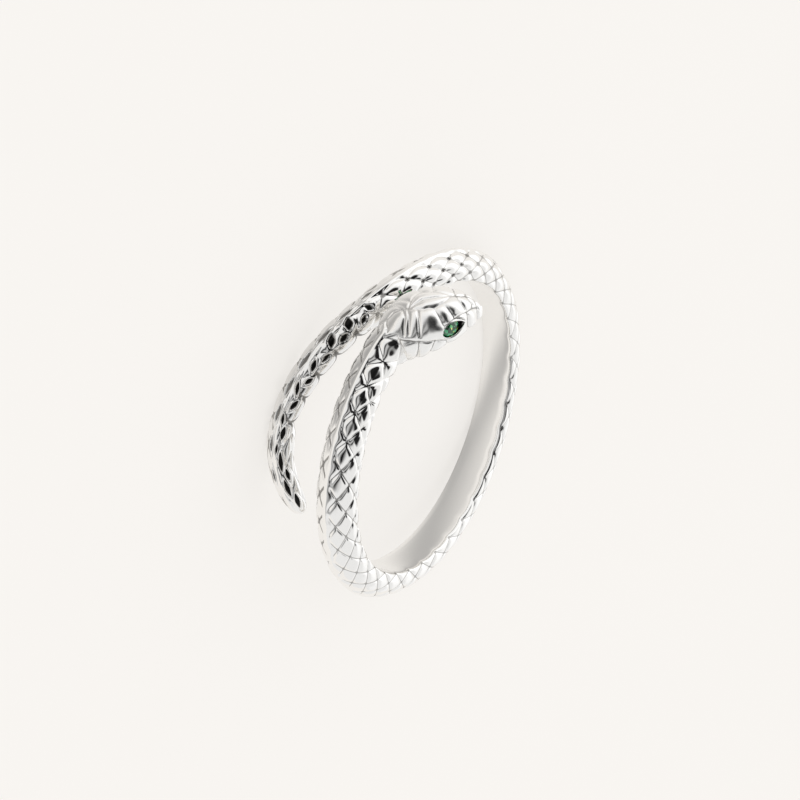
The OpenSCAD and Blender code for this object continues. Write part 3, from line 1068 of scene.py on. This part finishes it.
def in_card(tree, way, card):
    """How far inside a card each direction is, from 0 to 1. The card is an ellipse round its middle, with x
    along it and y across: (x / half length) ** 2 + (y / half width) ** 2 < 1."""
    azimuth, elevation, length_azimuth, length_elevation, half_l, half_w, edge, _ = card
    middle = direction(azimuth, elevation)
    length = direction(length_azimuth, length_elevation)
    length = unit(length - middle * (length @ middle))
    width = np.cross(middle, length)
    axes = (length / np.sin(np.radians(half_l)), width / np.sin(np.radians(half_w)), middle)
    x, y, front = (
        add_node(tree, "VectorMath", {"operation": "DOT_PRODUCT", 0: way, 1: axis.tolist()}, "Value")
        for axis in axes)
    xy = add_node(tree, "CombineXYZ", {0: x, 1: y})
    reach = add_node(tree, "VectorMath", {"operation": "LENGTH", 0: xy}, "Value")
    inside = ramped(tree, reach, 1 - edge / half_w, 1 + edge / half_w, 1.0, 0.0, "SMOOTHSTEP")
    ahead = ramped(tree, front, 0.0, 0.1)
    return add_node(tree, "Math", {"operation": "MULTIPLY", 0: inside, 1: ahead})


def studio_world(settings):
    """A white studio with soft-edged cards that only the mirroring silver and the stones see. The floor is
    lit by an even white, and the camera sees the floor's colour."""
    world = bpy.data.worlds.new("studio")
    world.use_nodes = True
    t = world.node_tree
    t.nodes.clear()
    way = add_node(t, "TexCoord", output="Generated")
    light = STUDIO_LIGHT
    for card in CARDS:
        light = add_node(t, "Mix", {"data_type": "FLOAT", 0: in_card(t, way, card), 2: light, 3: card[-1]})
    white = hex_colour("#FFFFFF")
    mirrored = add_node(t, "Background", {"Color": white, "Strength": light})
    even = add_node(t, "Background", {"Color": white})
    plain = add_node(t, "Background", {"Color": settings.floor_colour})
    diffuse = add_node(t, "LightPath", output="Is Diffuse Ray")
    seen = add_node(t, "LightPath", output="Is Camera Ray")
    light = add_node(t, "MixShader", {0: diffuse, 1: mirrored, 2: even})
    add_node(t, "OutputWorld", {"Surface": add_node(t, "MixShader", {0: seen, 1: light, 2: plain})})
    return world


def floor_material(settings):
    """Pale cream paper, matt and a little cloudy, on a light table. The silver sees painted grey shades on
    it.
    """
    m, t, place = new_material("pale_cream_paper")
    clouds = add_node(t, "TexNoise", {"Scale": CLOUD_SCALE, "Detail": 4.0, "Vector": place}, "Fac")
    glossy = add_node(t, "LightPath", output="Is Glossy Ray")
    shown = mixed_colour(t, clouds, settings.floor_colour, hex_colour(CLOUD_COLOUR))
    for x, y, half_l, half_w, strength in FLOOR_SHADES:
        offset = add_node(t, "VectorMath", {"operation": "SUBTRACT", 0: place, 1: (x * MM, y * MM, 0)})
        size = (half_l * MM, half_w * MM, 1)
        shares = add_node(t, "VectorMath", {"operation": "DIVIDE", 0: offset, 1: size})
        reach = add_node(t, "VectorMath", {"operation": "LENGTH", 0: shares}, "Value")
        inside = ramped(t, reach, SHADE_FULL, SHADE_GONE, strength, 0.0, "SMOOTHSTEP")
        # Painted shade that only reflections show
        inside = add_node(t, "Math", {"operation": "MULTIPLY", 0: inside, 1: glossy})
        shown = mixed_colour(t, inside, shown, hex_colour(SHADE_COLOUR))
    lit = mixed_colour(t, FLOOR_LIGHT, hex_colour("#000000"), shown)
    return with_shader(m, {
        "Roughness": 0.9, "Specular IOR Level": 0.0, "Emission Strength": 1 - FLOOR_LIGHT,
        "Base Color": lit, "Emission Color": shown})


def make_camera():
    """The camera at the photograph's angle to the ring as it lies."""
    to_camera, right = unit(leaned(TO_CAMERA)), unit(leaned(PICTURE_RIGHT))
    up = np.cross(to_camera, right)
    place = (at_rest(np.zeros(3)) + to_camera * CAMERA_MM) * MM
    data = bpy.data.cameras.new("camera")
    data.lens = FOCAL_PX * data.sensor_width / PICTURE_PX
    data.shift_x = -(MIDDLE_PX[0] - PICTURE_PX / 2) / PICTURE_PX
    data.shift_y = (MIDDLE_PX[1] - PICTURE_PX / 2) / PICTURE_PX
    data.clip_start, data.clip_end = 0.01, 10.0
    camera = bpy.data.objects.new("camera", data)
    turned = np.eye(4)
    turned[:3] = np.stack([right, up, to_camera, place], 1)
    camera.matrix_world = Matrix(turned.tolist())
    return camera


class RING_OT_stage(bpy.types.Operator):
    """Makes the floor, the studio light and the camera"""
    bl_idname = "ring.stage"
    bl_label = "Stage"

    def execute(self, context):
        scene, settings = context.scene, context.scene.snake_ring
        corners = np.array([[-1, -1, 0], [1, -1, 0], [1, 1, 0], [-1, 1, 0]]) * FLOOR_HALF
        floor = put_mesh("pale_floor", corners, np.array([[0, 1, 2], [0, 2, 3]]))
        floor.data.materials.append(floor_material(settings))
        scene.world = studio_world(settings)
        scene.view_settings.view_transform = "Standard"
        camera = make_camera()
        scene.collection.objects.link(camera)
        scene.camera = camera
        return {"FINISHED"}


class RING_PT_panel(bpy.types.Panel):
    """Lists the ring's settings and what it is built from"""
    bl_label = "Snake ring"
    bl_idname = "RING_PT_panel"
    bl_space_type = "VIEW_3D"
    bl_region_type = "UI"
    bl_category = "Snake ring"

    def draw(self, context):
        for name in RingSettings.__annotations__:
            self.layout.prop(context.scene.snake_ring, name)
        for operator in ("ring.snake", "ring.rims", "ring.stones", "ring.stage"):
            self.layout.operator(operator)


CLASSES = (RingSettings, RING_OT_snake, RING_OT_rims, RING_OT_stones, RING_OT_stage, RING_PT_panel)


def register():
    for cls in CLASSES:
        bpy.utils.register_class(cls)
    bpy.types.Scene.snake_ring = bpy.props.PointerProperty(type=RingSettings)


def unregister():
    del bpy.types.Scene.snake_ring
    for cls in reversed(CLASSES):
        bpy.utils.unregister_class(cls)


def main():
    register()
    bpy.ops.ring.snake()
    bpy.ops.ring.rims()
    bpy.ops.ring.stones()
    bpy.ops.ring.stage()


if __name__ == "__main__":
    main()
